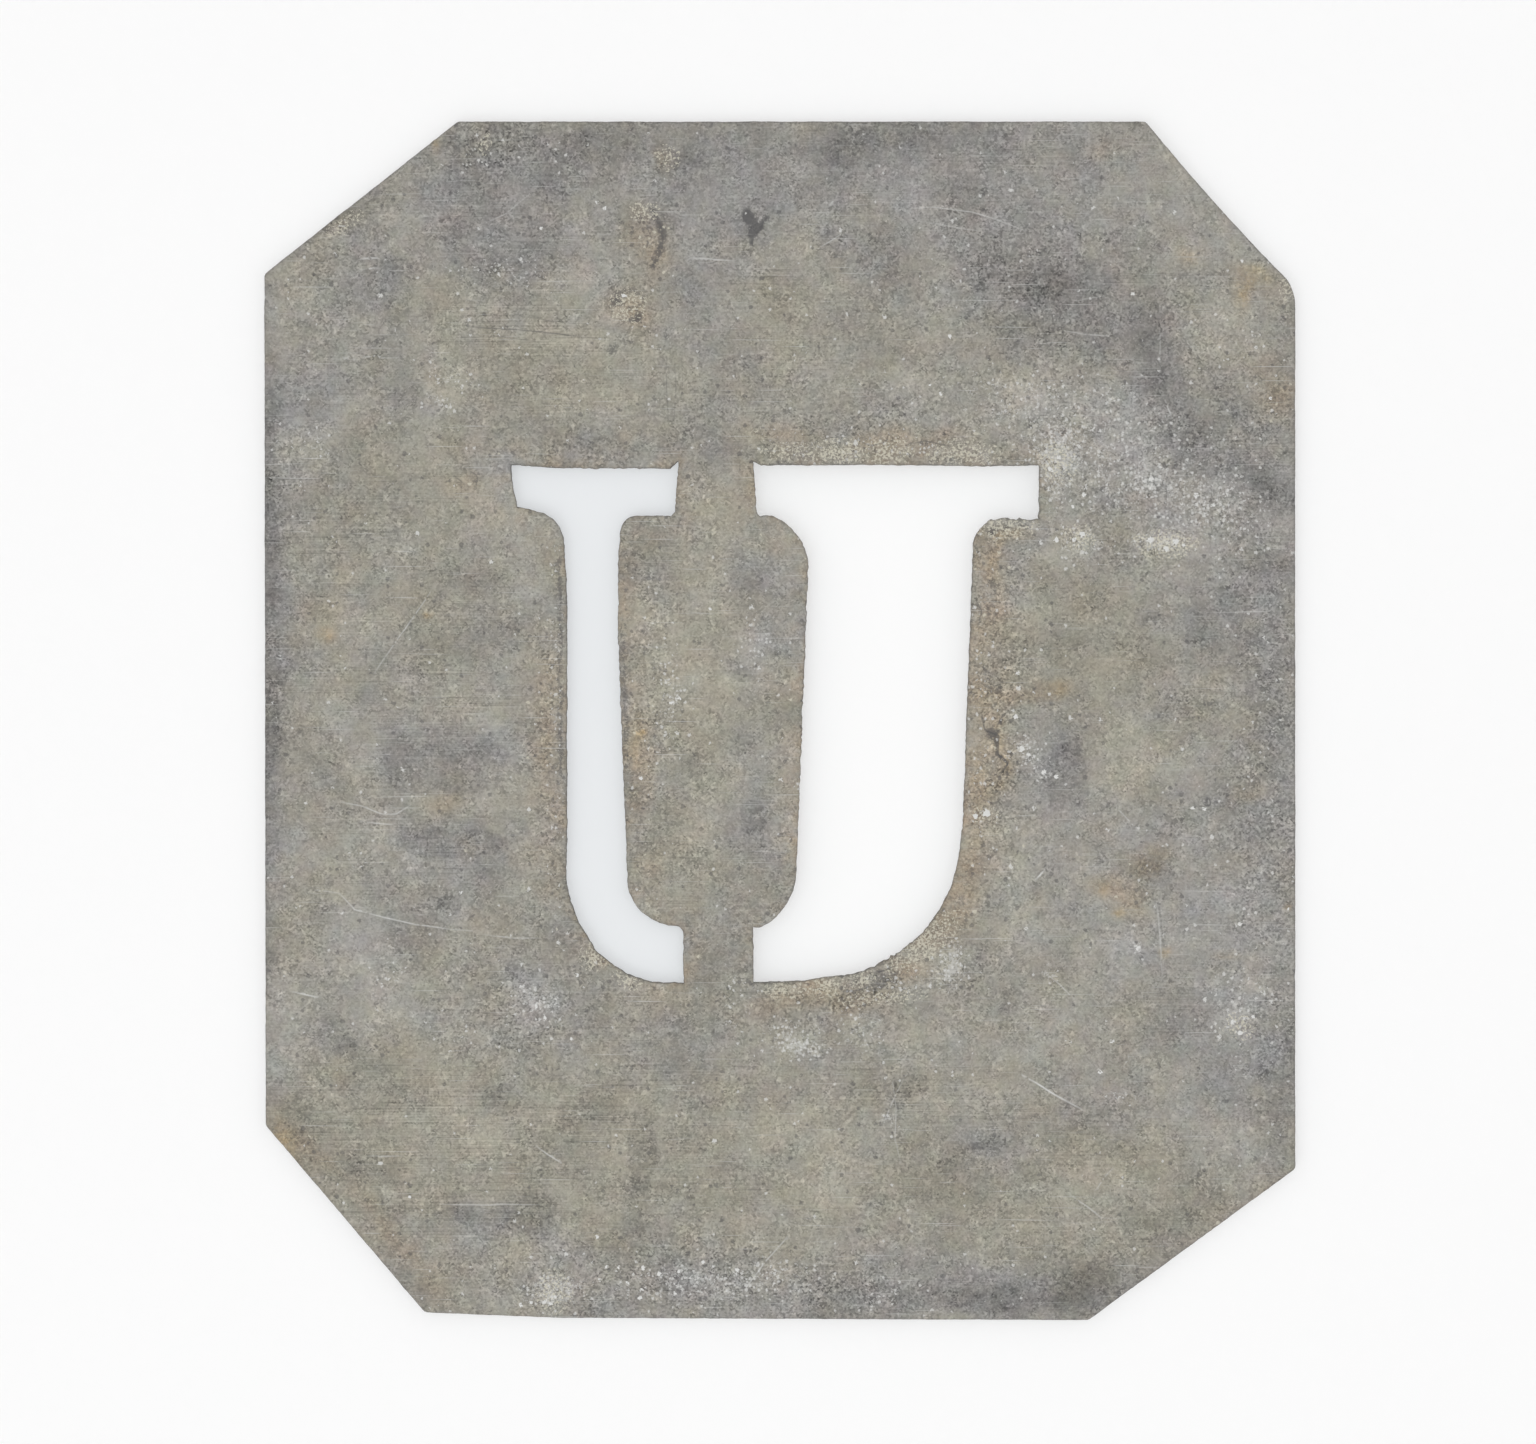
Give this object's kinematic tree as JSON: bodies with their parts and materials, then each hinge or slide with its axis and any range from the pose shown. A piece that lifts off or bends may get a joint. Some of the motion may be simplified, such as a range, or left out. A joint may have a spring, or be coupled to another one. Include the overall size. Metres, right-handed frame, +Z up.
{
  "type": "lettering stencil",
  "caption": "Flat zinc sheet with clipped corners and a serif capital letter cut through it as a thin and a thick stroke, joined by ties, for marking the letter on a surface.",
  "frame": {"origin": "centre of the back face, which lies flat on the work", "axes": "+Z up out of the front face, +Y to the top of the letter, +X to the letter's right"},
  "size_m": [0.0764, 0.0888, 0.0008],
  "materials": {
    "zinc": null
  },
  "bodies": {
    "root": {"stencil_plate": "zinc"}
  },
  "joints": []
}
